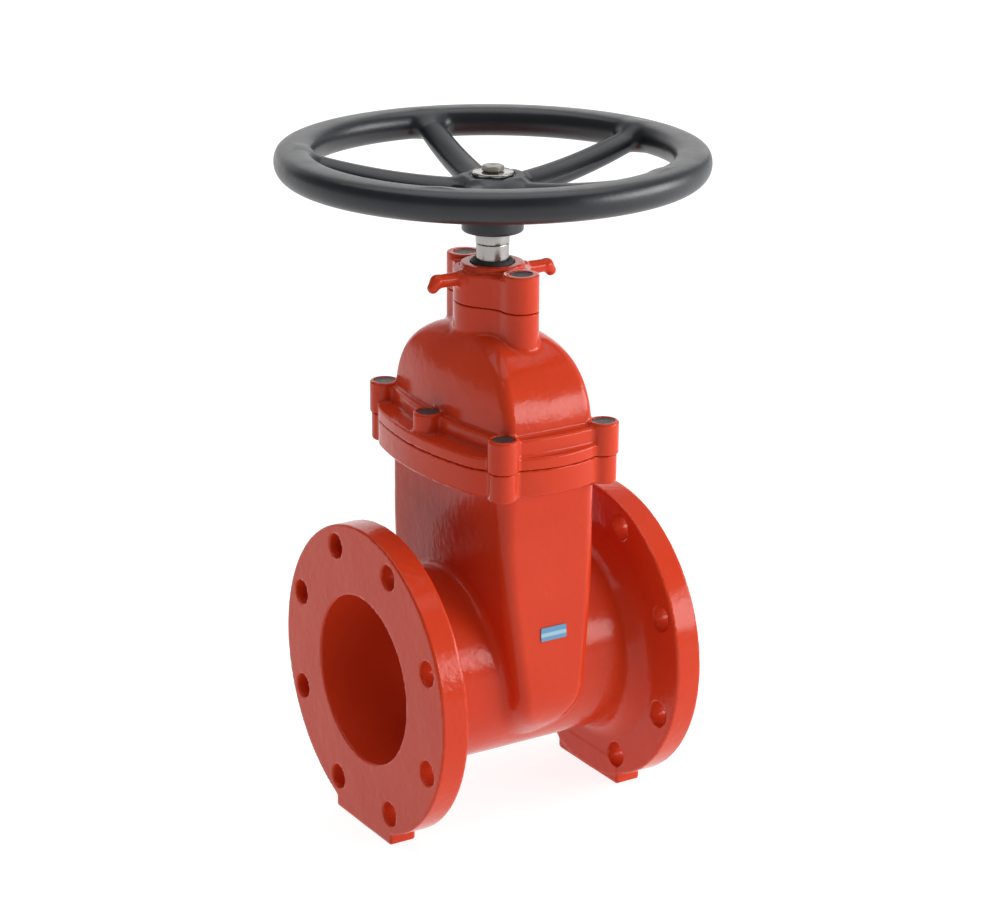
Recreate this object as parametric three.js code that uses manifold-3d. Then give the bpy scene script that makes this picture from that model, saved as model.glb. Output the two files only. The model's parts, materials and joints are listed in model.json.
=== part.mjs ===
// Gate valve, 6 inch, non-rising stem, flanged ends, handwheel operated.
// Units are millimetres.  X runs along the pipe, Z is up along the stem, Z = 0 is under the feet.
// The valve is drawn open: the wedge is lifted clear of the bore.
import * as THREE from 'three';
import Module from 'manifold-3d';
import { mergeVertices } from 'three/addons/utils/BufferGeometryUtils.js';

const wasm = await Module();
wasm.setup();

// ---------------------------------------------------------------- driving dimensions
const GAP = 0.3;                       // clearance between pieces that touch
const PIPE_HEIGHT = 141;               // pipe axis above the feet
const FACE_TO_FACE = 266.7;
const FLANGE_RADIUS = 139.7;
const FLANGE_THICKNESS = 25.4;
const FLANGE_HOLE_RADIUS = 11.1;
const FLANGE_HOLE_CIRCLE = 120.65;
const FLANGE_HOLE_COUNT = 8;
const BORE_RADIUS = 76.2;
const BARREL_RADIUS = 87;
const BARREL_FILLET = 22;
const FOOT_HALF_WIDTH = 49;

const JOINT_HEIGHT = 350;              // parting plane between body and bonnet
const BODY_FLANGE_BOTTOM = 326;
const BONNET_PLATE_TOP = 361;
const BONNET_SHOULDER_TOP = 376;       // raised block that the dome and the lugs stand on
const BONNET_LUG_TOP = 379;
const JOINT_PLAN = { halfX: 81, halfY: 115, power: 2.9 };
const SHOULDER_PLAN = { halfX: 61, halfY: 108, power: 2.9 };
const BONNET_LUG_RADIUS = 13.5;
const BODY_LUG_RADIUS = 12;
const BONNET_BOLT_PLACES = [[51, 100], [-51, 100], [-65, 0], [-51, -100], [51, -100], [65, 0]];

// Domes: half sizes at the base, superellipse power of the plan, and for the side and end views
// the rise and the superellipse power.
const DOME = {
  base: 357, halfX: 54.5, halfY: 98, power: 4.4, riseX: 97, powerX: 2.7, riseY: 95, powerY: 2.4,
};
const DOME_INSIDE = {
  base: 355, halfX: 42, halfY: 87, power: 2.6, riseX: 86, powerX: 2.25, riseY: 86, powerY: 2.25,
};

const NECK_TOP = 471;
const NECK_RADIUS = 34;
const NECK_BOSS_RADIUS = 16;
const NECK_BOSS_OFFSET = 46;
const HOUSING_BOSS_TOP = 503.5;
const HOUSING_TOP = 499;
const HOUSING_COLLAR_TOP = 504.5;
const HOUSING_COLLAR_RADIUS = 28;
const ARM_REACH = 60;
const ARM_HEIGHT = 493;

const STEM_RADIUS = 14.5;
const THREAD_RADIUS = 14;
const THRUST_COLLAR_RADIUS = 23;
const STEM_BOTTOM = 229;
const STEM_SHOULDER = 521.5;
const STEM_NECK_RADIUS = 13.4;
const STEM_SQUARE = 18.6;
const STEM_TOP = 574;

const HUB_BOTTOM = 532;
const HUB_TOP = 580;
const WHEEL_RIM_RADIUS = 171;
const WHEEL_RIM_HEIGHT = 594.6;
const WHEEL_RIM_HALF_WIDTH = 16.5;
const WHEEL_RIM_HALF_HEIGHT = 15.6;
const SPOKE_COUNT = 5;
const SPOKE_TURN = 7.3;                // degrees from +X to the first spoke

const BOLT_SHANK_RADIUS = 6;
const BOLT_HEAD_RADIUS = 9;
const BOLT_HEAD_HEIGHT = 12;
const COUNTERBORE_RADIUS = 10;
const WAX_THICKNESS = 3;

const THREAD_LEAD = 8;
const CLOSING_TURNS = 20.25;
const WEDGE_LIFT = THREAD_LEAD * CLOSING_TURNS;      // 162 mm from closed to open
const WEDGE_RADIUS = BORE_RADIUS - 0.5;
const WEDGE_HALF_LENGTH = 80;
const RUBBER_THICKNESS = 6;
const STEM_HOLE_RADIUS = 16.5;

// ---------------------------------------------------------------- geometry helpers

// Closed three.js geometry to a manifold solid, faces turned outwards.
function toSolid(geometry) {
  const bare = geometry.index ? geometry.toNonIndexed() : geometry.clone();
  bare.deleteAttribute('normal');
  bare.deleteAttribute('uv');
  const merged = mergeVertices(bare, 1e-4);
  const position = merged.attributes.position;
  const corners = [];
  for (let i = 0; i < merged.index.count; i += 3) {
    const [a, b, c] = [merged.index.getX(i), merged.index.getX(i + 1), merged.index.getX(i + 2)];
    if (a !== b && b !== c && c !== a) corners.push(a, b, c);
  }
  const at = (i) => new THREE.Vector3().fromBufferAttribute(position, i);
  let volume = 0;
  for (let i = 0; i < corners.length; i += 3) {
    volume += at(corners[i]).dot(at(corners[i + 1]).cross(at(corners[i + 2])));
  }
  if (volume < 0) corners.reverse();
  return new wasm.Manifold(new wasm.Mesh({
    numProp: 3,
    vertProperties: new Float32Array(position.array),
    triVerts: new Uint32Array(corners),
  }));
}

function union(solids) {
  return solids.reduce((whole, solid) => whole.add(solid));
}

function cut(base, tools) {
  return tools.reduce((whole, tool) => whole.subtract(tool), base);
}

// Round rod standing on Z at (x, y).
function rod(radius, bottom, top, around = 24, x = 0, y = 0) {
  const geometry = new THREE.CylinderGeometry(radius, radius, top - bottom, around);
  return toSolid(geometry.rotateX(Math.PI / 2).translate(x, y, (top + bottom) / 2));
}

// Round rod lying along X at pipe height.
function pipeRod(radius, from, to, around, y = 0, z = PIPE_HEIGHT) {
  return rod(radius, from, to, around).rotate([0, 90, 0]).translate([0, y, z]);
}

function block(x0, x1, y0, y1, z0, z1) {
  const geometry = new THREE.BoxGeometry(x1 - x0, y1 - y0, z1 - z0);
  return toSolid(geometry.translate((x0 + x1) / 2, (y0 + y1) / 2, (z0 + z1) / 2));
}

// Turned solid about Z from a closed profile of [radius, height] points.
function turned(profile, around = 28) {
  const points = [...profile, profile[0]].map(([radius, height]) => new THREE.Vector2(radius, height));
  return toSolid(new THREE.LatheGeometry(points, around).rotateX(Math.PI / 2));
}

// Flat ring about Z.
function ring(inner, outer, bottom, top, around = 24) {
  return turned([[inner, bottom], [outer, bottom], [outer, top], [inner, top]], around);
}

// O-ring of round section about Z.
function roundRing(centreRadius, sectionRadius, height, around = 24, steps = 6) {
  const profile = [];
  for (let i = 0; i < steps; i++) {
    const turn = (i / steps) * 2 * Math.PI;
    profile.push([centreRadius + sectionRadius * Math.cos(turn), height + sectionRadius * Math.sin(turn)]);
  }
  return turned(profile, around);
}

// Outline in plan with a rounded corner at each [x, y, radius], listed anticlockwise.
function roundedOutline(corners, steps = 4) {
  const outline = [];
  corners.forEach(([x, y, radius], i) => {
    const before = corners[(i + corners.length - 1) % corners.length];
    const after = corners[(i + 1) % corners.length];
    const here = new THREE.Vector2(x, y);
    const back = new THREE.Vector2(before[0], before[1]).sub(here).normalize();
    const ahead = new THREE.Vector2(after[0], after[1]).sub(here).normalize();
    const half = Math.acos(back.dot(ahead)) / 2;
    const middle = back.clone().add(ahead).normalize();
    const centre = here.clone().addScaledVector(middle, radius / Math.sin(half));
    const start = here.clone().addScaledVector(back, radius / Math.tan(half)).sub(centre).angle();
    const end = here.clone().addScaledVector(ahead, radius / Math.tan(half)).sub(centre).angle();
    const sweep = ((end - start + 3 * Math.PI) % (2 * Math.PI)) - Math.PI;
    for (let step = 0; step <= steps; step++) {
      const turn = start + (sweep * step) / steps;
      outline.push([centre.x + radius * Math.cos(turn), centre.y + radius * Math.sin(turn)]);
    }
  });
  return outline;
}

function roundedBox(halfX, halfY, radius, steps = 4) {
  return roundedOutline([
    [halfX, -halfY, radius], [halfX, halfY, radius], [-halfX, halfY, radius], [-halfX, -halfY, radius],
  ], steps);
}

function toShape(outline) {
  return new THREE.Shape(outline.map(([x, y]) => new THREE.Vector2(x, y)));
}

// Outline in plan, raised from bottom to top.
function prism(outline, bottom, top) {
  const settings = { depth: top - bottom, bevelEnabled: false };
  return toSolid(new THREE.ExtrudeGeometry(toShape(outline), settings).translate(0, 0, bottom));
}

// Outline of [y, z] points, carried along X from -halfWidth to +halfWidth.
function sidePrism(outline, halfWidth) {
  return prism(outline, -halfWidth, halfWidth).rotate([90, 0, 90]);
}

// Skin through outlines of equal point count, each {height, outline}, bottom one first.
function loft(sections) {
  const count = sections[0].outline.length;
  const positions = [];
  const faces = [];
  sections.forEach(({ height, outline }) => outline.forEach(([x, y]) => positions.push(x, y, height)));
  for (let level = 0; level + 1 < sections.length; level++) {
    for (let i = 0; i < count; i++) {
      const [a, b] = [level * count + i, level * count + ((i + 1) % count)];
      faces.push(a, b, b + count, a, b + count, a + count);
    }
  }
  const top = (sections.length - 1) * count;
  for (let i = 1; i + 1 < count; i++) faces.push(0, i + 1, i, top, top + i, top + i + 1);
  const geometry = new THREE.BufferGeometry();
  geometry.setAttribute('position', new THREE.Float32BufferAttribute(positions, 3));
  geometry.setIndex(faces);
  return toSolid(geometry);
}

// Round-section bar along a smooth path of [x, y, z] points.
function bar(points, radius, pathSteps = 4, around = 10) {
  const path = new THREE.CatmullRomCurve3(points.map(([x, y, z]) => new THREE.Vector3(x, y, z)));
  const section = new THREE.Shape().absarc(0, 0, radius, 0, 2 * Math.PI);
  const settings = { steps: pathSteps, extrudePath: path, bevelEnabled: false, curveSegments: around };
  return toSolid(new THREE.ExtrudeGeometry(section, settings));
}

// ---------------------------------------------------------------- finishes
const FINISHES = {
  red_epoxy: { color: 0xc4331b, roughness: 0.28, metalness: 0.0 },
  black_enamel: { color: 0x25282c, roughness: 0.45, metalness: 0.0 },
  stainless: { color: 0xb9b8b4, roughness: 0.22, metalness: 1.0 },
  zinc_steel: { color: 0x9a9c9e, roughness: 0.4, metalness: 1.0 },
  ductile_iron: { color: 0x55565a, roughness: 0.7, metalness: 0.6 },
  brass: { color: 0xb58a45, roughness: 0.35, metalness: 1.0 },
  black_rubber: { color: 0x1b1b1c, roughness: 0.8, metalness: 0.0 },
  sealing_wax: { color: 0x4b4442, roughness: 0.6, metalness: 0.0 },
  nylon: { color: 0xd9d6c8, roughness: 0.5, metalness: 0.0 },
  label: { color: 0x4f93c4, roughness: 0.4, metalness: 0.0 },
};

const group = new THREE.Group();
group.name = 'gate_valve';

function addPiece(name, solid, finish) {
  const { vertProperties, triVerts } = solid.getMesh();
  const geometry = new THREE.BufferGeometry();
  geometry.setAttribute('position', new THREE.Float32BufferAttribute(vertProperties, 3));
  geometry.setIndex(new THREE.BufferAttribute(triVerts, 1));
  geometry.computeVertexNormals();
  const mesh = new THREE.Mesh(geometry, new THREE.MeshStandardMaterial(FINISHES[finish]));
  mesh.name = name;
  mesh.material.name = finish;
  group.add(mesh);
}

// ---------------------------------------------------------------- body casting

// Barrel and end flanges, turned about the pipe axis, with a fillet behind each flange.
function barrelAndFlanges() {
  const face = FACE_TO_FACE / 2;
  const back = face - FLANGE_THICKNESS;
  const side = [[0, face], [FLANGE_RADIUS - 1.5, face], [FLANGE_RADIUS, face - 1.5], [FLANGE_RADIUS, back]];
  for (let step = 0; step <= 3; step++) {
    const turn = (step / 3) * (Math.PI / 2);
    const radius = BARREL_RADIUS + BARREL_FILLET * (1 - Math.sin(turn));
    side.push([radius, back - BARREL_FILLET * (1 - Math.cos(turn))]);
  }
  const mirrored = side.map(([radius, along]) => [radius, -along]).reverse();
  return turned([...mirrored, ...side], 40).rotate([0, 90, 0]).translate([0, 0, PIPE_HEIGHT]);
}

const POCKET_FULL_HEIGHT = 280;        // the pocket is at its widest from here up
const POCKET_TIP = 85;                 // bottom of the tongue that the narrow faces end in

// Half length of the pocket along Y at a height: leaning narrow faces that turn in below the pipe axis.
function pocketReach(height) {
  const lean = Math.min(Math.max((height - PIPE_HEIGHT) / (POCKET_FULL_HEIGHT - PIPE_HEIGHT), 0), 1);
  const below = Math.max(PIPE_HEIGHT - height, 0) / 70;
  return (106 - 8.7 * lean ** 1.1) * Math.sqrt(1 - below ** 2);
}

// Half width of the pocket along X at a height.
function pocketHalfWidth(height) {
  const down = Math.min(Math.max((POCKET_FULL_HEIGHT - height) / (POCKET_FULL_HEIGHT - PIPE_HEIGHT), 0), 1);
  const below = Math.max(PIPE_HEIGHT - height, 0) / (PIPE_HEIGHT - POCKET_TIP);
  return (48.5 - 12.5 * down ** 1.5) * Math.sqrt(1 - below ** 2);
}

// Upright pocket that holds the wedge.
function pocketOutside() {
  const heights = [
    POCKET_TIP + 2, 91, 100, 113, 127, PIPE_HEIGHT, 180, 230, POCKET_FULL_HEIGHT, BODY_FLANGE_BOTTOM + 4,
  ];
  return loft(heights.map((height) => {
    const [halfX, halfY] = [pocketHalfWidth(height), pocketReach(height)];
    return { height, outline: roundedBox(halfX, halfY, Math.min(14, halfX - 1)) };
  }));
}

function pocketInside() {
  const levels = [
    [118, 66, 24], [132, 78, 26], [150, 88, 29], [175, 90, 33],
    [230, 90, 38], [290, 88, 40], [JOINT_HEIGHT + 5, 88, 40],
  ];
  return loft(levels.map(([height, halfY, halfX]) => ({ height, outline: roundedBox(halfX, halfY, 10) })));
}

// Superellipse outline.
function ovalOutline({ halfX, halfY, power }, scaleX = 1, scaleY = 1, around = 40) {
  const outline = [];
  for (let i = 0; i < around; i++) {
    const turn = (i / around) * 2 * Math.PI;
    const [across, along] = [Math.cos(turn), Math.sin(turn)];
    outline.push([
      scaleX * halfX * Math.sign(across) * Math.abs(across) ** (2 / power),
      scaleY * halfY * Math.sign(along) * Math.abs(along) ** (2 / power),
    ]);
  }
  return outline;
}

function feet() {
  const face = FACE_TO_FACE / 2;
  const foot = (from, to) => block(from, to, -FOOT_HALF_WIDTH, FOOT_HALF_WIDTH, 0, 20);
  return [foot(face - FLANGE_THICKNESS, face), foot(-face, FLANGE_THICKNESS - face)];
}

function flangeHoles() {
  const face = FACE_TO_FACE / 2;
  const holes = [];
  for (let i = 0; i < FLANGE_HOLE_COUNT; i++) {
    const turn = ((i + 0.5) / FLANGE_HOLE_COUNT) * 2 * Math.PI;
    const y = FLANGE_HOLE_CIRCLE * Math.cos(turn);
    const z = PIPE_HEIGHT + FLANGE_HOLE_CIRCLE * Math.sin(turn);
    for (const side of [-1, 1]) {
      const [inner, outer] = [face - FLANGE_THICKNESS - 1, face + 1].map((x) => side * x);
      holes.push(pipeRod(FLANGE_HOLE_RADIUS, Math.min(inner, outer), Math.max(inner, outer), 12, y, z));
    }
  }
  return holes;
}

const GASKET_INNER = [43, 91, 13];
const GASKET_WIDTH = 5;
const GASKET_DEPTH = 3;

function gasketRing(inset, bottom, top) {
  const [halfX, halfY, radius] = GASKET_INNER;
  const outer = GASKET_WIDTH - inset;
  const outside = prism(roundedBox(halfX + outer, halfY + outer, radius + outer), bottom, top);
  return cut(outside, [prism(roundedBox(halfX + inset, halfY + inset, radius + inset), bottom - 1, top + 1)]);
}

const RAIL_HALF_WIDTH = 5;
const RAIL_FACE = 82;

function buildBody() {
  const top = JOINT_HEIGHT - GAP / 2;
  const outside = union([
    barrelAndFlanges(),
    ...feet(),
    pocketOutside(),
    prism(ovalOutline(JOINT_PLAN), BODY_FLANGE_BOTTOM, top),
    ...BONNET_BOLT_PLACES.map(([x, y]) => rod(BODY_LUG_RADIUS, BODY_FLANGE_BOTTOM - 2, top, 16, x, y)),
  ]);
  const boltHole = ([x, y]) => rod(BOLT_SHANK_RADIUS + GAP, BODY_FLANGE_BOTTOM + 3, top + 1, 12, x, y);
  const hollow = cut(outside, [
    pipeRod(BORE_RADIUS, -FACE_TO_FACE, FACE_TO_FACE, 40),
    pocketInside(),
    gasketRing(0, top - GASKET_DEPTH, top + 1),
    ...flangeHoles(),
    ...BONNET_BOLT_PLACES.map(boltHole),
  ]);
  const rail = (side) => block(-RAIL_HALF_WIDTH, RAIL_HALF_WIDTH,
    Math.min(side * RAIL_FACE, side * 92), Math.max(side * RAIL_FACE, side * 92), 152, 344);
  return union([hollow, rail(1), rail(-1)]);
}

// ---------------------------------------------------------------- bonnet casting

// Dome whose plan, side and end views are superellipses; it stands on a straight wall.
function dome(shape, wallBottom, rings = 8) {
  const shrink = (rise, full, power) => (1 - Math.min(rise / full, 0.999) ** power) ** (1 / power);
  const top = Math.min(shape.riseX, shape.riseY) * 0.985;
  const sections = [{ height: wallBottom, outline: ovalOutline(shape) }];
  for (let i = 0; i <= rings; i++) {
    const rise = top * Math.sin((i / rings) * (Math.PI / 2));
    const [scaleX, scaleY] = [
      shrink(rise, shape.riseX, shape.powerX), shrink(rise, shape.riseY, shape.powerY),
    ];
    sections.push({ height: shape.base + rise, outline: ovalOutline(shape, scaleX, scaleY) });
  }
  return loft(sections);
}

// Plan of the neck: round barrel with a bolt boss on each side along Y.
function neckSolid(bottom, top, bossTop) {
  const web = NECK_BOSS_RADIUS - 2.5;
  const boss = (side) => rod(NECK_BOSS_RADIUS, bottom, bossTop, 24, 0, side * NECK_BOSS_OFFSET);
  return union([
    rod(NECK_RADIUS, bottom, top, 32),
    block(-web, web, -NECK_BOSS_OFFSET, NECK_BOSS_OFFSET, bottom, Math.min(top, bossTop)),
    boss(1), boss(-1),
  ]);
}

const THRUST_SEAT = 455;
const THRUST_BORE_RADIUS = 24.5;

function buildBonnet() {
  const bottom = JOINT_HEIGHT + GAP / 2;
  const outside = union([
    prism(ovalOutline(JOINT_PLAN), bottom, BONNET_PLATE_TOP),
    prism(ovalOutline(SHOULDER_PLAN), bottom, BONNET_SHOULDER_TOP),
    dome(DOME, bottom),
    neckSolid(BONNET_PLATE_TOP, NECK_TOP, NECK_TOP),
    ...BONNET_BOLT_PLACES.map(([x, y]) => rod(BONNET_LUG_RADIUS, bottom, BONNET_LUG_TOP, 16, x, y)),
  ]);
  const boltHoles = BONNET_BOLT_PLACES.flatMap(([x, y]) => [
    rod(BOLT_SHANK_RADIUS + GAP, bottom - 1, BONNET_LUG_TOP, 12, x, y),
    rod(COUNTERBORE_RADIUS, BONNET_PLATE_TOP - 1, BONNET_LUG_TOP + 1, 16, x, y),
  ]);
  const housingHoles = [1, -1].map((side) => (
    rod(BOLT_SHANK_RADIUS + GAP, THRUST_SEAT, NECK_TOP + 1, 12, 0, side * NECK_BOSS_OFFSET)
  ));
  return cut(outside, [
    dome(DOME_INSIDE, DOME_INSIDE.base + 22),
    loft([
      { height: bottom - 1, outline: roundedBox(40, 88, 10) },
      { height: DOME_INSIDE.base + 24, outline: roundedBox(42.6, 87.6, 20) },
    ]),
    rod(THREAD_RADIUS + 1, DOME_INSIDE.base, NECK_TOP + 1, 24),
    rod(THRUST_BORE_RADIUS, THRUST_SEAT, NECK_TOP + 1, 32),
    ...boltHoles,
    ...housingHoles,
  ]);
}

// ---------------------------------------------------------------- seal housing

// Hook-ended cast arm along X, its tip turned down.
function housingArm(side) {
  const [low, high] = [ARM_HEIGHT - 5, ARM_HEIGHT + 5];
  const outline = [
    [24, low], [ARM_REACH - 9, low], [ARM_REACH - 7, low - 4], [ARM_REACH, low - 4],
    [ARM_REACH + 3, low + 1], [ARM_REACH + 3, high - 3], [ARM_REACH - 2, high], [24, high],
  ];
  const geometry = new THREE.ExtrudeGeometry(toShape(outline), { depth: 12, bevelEnabled: false });
  const arm = toSolid(geometry.translate(0, 0, -6).rotateX(Math.PI / 2));
  return side > 0 ? arm : arm.rotate([0, 0, 180]);
}

const BUSHING_RADIUS = 20.5;
const BUSHING_TOP = 493;
const HOUSING_SEAL_RADIUS = 28.5;

function buildSealHousing() {
  const bottom = NECK_TOP + GAP;
  const boltTools = [1, -1].flatMap((side) => {
    const y = side * NECK_BOSS_OFFSET;
    const head = HOUSING_BOSS_TOP - WAX_THICKNESS - BOLT_HEAD_HEIGHT - 1;
    return [
      rod(BOLT_SHANK_RADIUS + GAP, bottom - 1, HOUSING_BOSS_TOP, 12, 0, y),
      rod(COUNTERBORE_RADIUS, head, HOUSING_BOSS_TOP + 1, 16, 0, y),
    ];
  });
  const outside = union([
    neckSolid(bottom, HOUSING_TOP, HOUSING_BOSS_TOP),
    rod(HOUSING_COLLAR_RADIUS, HOUSING_TOP - 1, HOUSING_COLLAR_TOP, 32),
    housingArm(1), housingArm(-1),
  ]);
  return cut(outside, [
    rod(STEM_RADIUS + 1, bottom - 1, HOUSING_COLLAR_TOP + 1, 24),
    rod(BUSHING_RADIUS + GAP, bottom - 1, BUSHING_TOP + GAP, 32),
    rod(19.3, HOUSING_TOP + 1.5, HOUSING_COLLAR_TOP + 1, 32),
    ring(HOUSING_SEAL_RADIUS - 1.6, HOUSING_SEAL_RADIUS + 1.6, bottom - 1, bottom + 3, 32),
    ...boltTools,
  ]);
}

// Bronze bushing that guides the stem; two grooves inside hold the stem seals.
const STEM_SEAL_HEIGHTS = [479, 487];

function buildBushing() {
  const inner = STEM_RADIUS + GAP;
  const grooves = STEM_SEAL_HEIGHTS.map((height) => ring(inner - 1, inner + 3.1, height - 1.8, height + 1.8));
  return cut(ring(inner, BUSHING_RADIUS, NECK_TOP + 2 * GAP + 1, BUSHING_TOP, 24), grooves);
}

// ---------------------------------------------------------------- bolts and wax

// Socket-head bolt with its head resting at seat height and a hexagon socket in the head.
function socketBolt(x, y, seat, tip) {
  const bolt = union([
    rod(BOLT_SHANK_RADIUS, tip, seat + 1, 12, x, y),
    rod(BOLT_HEAD_RADIUS, seat, seat + BOLT_HEAD_HEIGHT, 16, x, y),
  ]);
  return cut(bolt, [rod(5.8, seat + BOLT_HEAD_HEIGHT - 6, seat + BOLT_HEAD_HEIGHT + 1, 6, x, y)]);
}

function waxPlug(x, y, top) {
  return rod(COUNTERBORE_RADIUS - GAP, top - WAX_THICKNESS, top - 0.4, 16, x, y);
}

// ---------------------------------------------------------------- stem and thrust washers

function buildStem() {
  const collar = { bottom: 458.2, top: 467.8 };
  const shaft = turned([
    [0, STEM_BOTTOM], [THREAD_RADIUS - 2, STEM_BOTTOM], [THREAD_RADIUS, STEM_BOTTOM + 2],
    [THREAD_RADIUS, collar.bottom], [THRUST_COLLAR_RADIUS, collar.bottom],
    [THRUST_COLLAR_RADIUS, collar.top], [STEM_RADIUS, collar.top], [STEM_RADIUS, STEM_SHOULDER],
    [STEM_NECK_RADIUS, STEM_SHOULDER], [STEM_NECK_RADIUS, HUB_BOTTOM], [0, HUB_BOTTOM],
  ], 28);
  const half = STEM_SQUARE / 2;
  const square = block(-half, half, -half, half, HUB_BOTTOM - 1, STEM_TOP);
  const boltHole = rod(5 + GAP, STEM_TOP - 22, STEM_TOP + 1, 12);
  return cut(shaft.add(square), [boltHole]);
}

// ---------------------------------------------------------------- wedge, drawn closed then lifted open

const WEDGE_SHOULDER = 200;
const WEDGE_TOP = 240;

// Side outline of the wedge as [y, z]: the lower half is round, the top is an arch.
function wedgeOutline(inset) {
  const radius = WEDGE_RADIUS - inset;
  const halfLength = WEDGE_HALF_LENGTH - inset;
  const outline = [];
  for (let step = 0; step <= 16; step++) {
    const turn = Math.PI + (step / 16) * Math.PI;
    outline.push([radius * Math.cos(turn), PIPE_HEIGHT + radius * Math.sin(turn)]);
  }
  outline.push([halfLength, PIPE_HEIGHT + 14], [halfLength, WEDGE_SHOULDER - inset]);
  outline.push([halfLength - 12, WEDGE_SHOULDER + 16 - inset], [44 - inset, WEDGE_TOP - inset]);
  outline.push([inset - 44, WEDGE_TOP - inset], [12 - halfLength, WEDGE_SHOULDER + 16 - inset]);
  outline.push([-halfLength, WEDGE_SHOULDER - inset], [-halfLength, PIPE_HEIGHT + 14]);
  return outline;
}

// The wedge thins from top to bottom.
function wedgeBlock(inset) {
  const taper = [[22, 60], [31, 245]].map(([halfX, height]) => ({
    height, outline: roundedBox(halfX - inset, 100, 6),
  }));
  return sidePrism(wedgeOutline(inset), 60).intersect(loft(taper));
}

const SHOE = { halfWidth: 12, inner: 73, outer: 86.5, bottom: 157, top: 207 };
const LUG = { halfWidth: 8, outer: 78, bottom: 160, top: 204 };
const NUT = { halfX: 20, halfY: 22, bottom: 226, top: 254 };
const YOKE = { halfX: 25, halfY: 33, bottom: 205, top: 260 };

function stemHole() {
  return rod(STEM_HOLE_RADIUS, 50, YOKE.top + 10, 24);
}

function coreBlock(swell) {
  const lug = (side) => {
    const [near, far] = [60, LUG.outer + swell];
    return block(-LUG.halfWidth - swell, LUG.halfWidth + swell,
      side > 0 ? near : -far, side > 0 ? far : -near, LUG.bottom - swell, LUG.top + swell);
  };
  const yoke = block(-YOKE.halfX - swell, YOKE.halfX + swell, -YOKE.halfY - swell, YOKE.halfY + swell,
    YOKE.bottom, YOKE.top);
  return union([wedgeBlock(RUBBER_THICKNESS - swell), yoke, lug(1), lug(-1)]);
}

function shoeSpace(swell) {
  return [1, -1].map((side) => {
    const [near, far] = [SHOE.inner - swell, 100];
    return block(-SHOE.halfWidth - swell, SHOE.halfWidth + swell,
      side > 0 ? near : -far, side > 0 ? far : -near, SHOE.bottom - swell, SHOE.top + swell);
  });
}

function buildWedgeCore() {
  const nutSlot = block(-60, 60, -NUT.halfY - GAP, NUT.halfY + GAP, NUT.bottom - GAP, NUT.top + GAP);
  const behindShoes = shoeSpace(GAP).map((space) => space.subtract(coreLugSpace()));
  return cut(coreBlock(0), [stemHole(), nutSlot, ...behindShoes]);
}

function coreLugSpace() {
  return block(-LUG.halfWidth, LUG.halfWidth, -LUG.outer, LUG.outer, LUG.bottom, LUG.top);
}

function buildWedgeRubber() {
  const openTop = block(-60, 60, -100, 100, 232, 300);
  return cut(wedgeBlock(0), [coreBlock(GAP), stemHole(), openTop, ...shoeSpace(GAP)]);
}

function buildShoe(side) {
  const sided = (near, far) => (side > 0 ? [near, far] : [-far, -near]);
  const [y0, y1] = sided(SHOE.inner, SHOE.outer);
  const [railY0, railY1] = sided(RAIL_FACE - GAP, 100);
  const [lugY0, lugY1] = sided(0, LUG.outer + GAP);
  const slide = RAIL_HALF_WIDTH + GAP;
  const lug = LUG.halfWidth + GAP;
  return cut(block(-SHOE.halfWidth, SHOE.halfWidth, y0, y1, SHOE.bottom, SHOE.top), [
    block(-slide, slide, railY0, railY1, SHOE.bottom - 1, SHOE.top + 1),
    block(-lug, lug, lugY0, lugY1, LUG.bottom - GAP, LUG.top + GAP),
  ]);
}

function buildNut() {
  const nut = block(-NUT.halfX, NUT.halfX, -NUT.halfY, NUT.halfY, NUT.bottom, NUT.top);
  return cut(nut, [rod(THREAD_RADIUS + GAP, NUT.bottom - 1, NUT.top + 1, 28)]);
}

// ---------------------------------------------------------------- handwheel

// Rim section, flattened on top, turned about the stem.
function wheelRim() {
  const profile = [];
  for (let step = 0; step < 12; step++) {
    const turn = ((step + 0.5) / 12) * 2 * Math.PI;
    const rise = Math.min(Math.sin(turn) * WHEEL_RIM_HALF_HEIGHT * 1.08, WHEEL_RIM_HALF_HEIGHT - 2.6);
    profile.push([WHEEL_RIM_RADIUS + WHEEL_RIM_HALF_WIDTH * Math.cos(turn) * 1.035, WHEEL_RIM_HEIGHT + rise]);
  }
  return turned(profile, 48);
}

function buildHandwheel() {
  const hub = turned([
    [0, HUB_BOTTOM], [27, HUB_BOTTOM], [27, HUB_BOTTOM + 9], [26, HUB_BOTTOM + 20], [32, HUB_TOP - 18],
    [32, HUB_TOP - 6], [24, HUB_TOP], [0, HUB_TOP],
  ], 32);
  const spoke = bar([
    [16, 0, HUB_TOP - 13], [60, 0, HUB_TOP - 8], [115, 0, WHEEL_RIM_HEIGHT - 9],
    [WHEEL_RIM_RADIUS - 6, 0, WHEEL_RIM_HEIGHT + 1],
  ], 10.5, 5, 5);
  const spokes = [];
  for (let i = 0; i < SPOKE_COUNT; i++) {
    spokes.push(spoke.rotate([0, 0, SPOKE_TURN + (i * 360) / SPOKE_COUNT]));
  }
  const half = STEM_SQUARE / 2 + GAP;
  const squareHole = block(-half, half, -half, half, HUB_BOTTOM - 1, HUB_TOP + 1);
  return cut(union([wheelRim(), hub, ...spokes]), [squareHole]);
}

// Hexagon-head bolt that holds the wheel down on the stem.
function buildWheelBolt() {
  const seat = HUB_TOP + 4;
  return union([rod(5, STEM_TOP - 18, seat + 1, 12), rod(9.8, seat + GAP, seat + 7, 6)]);
}

// ---------------------------------------------------------------- blank label plate

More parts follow.
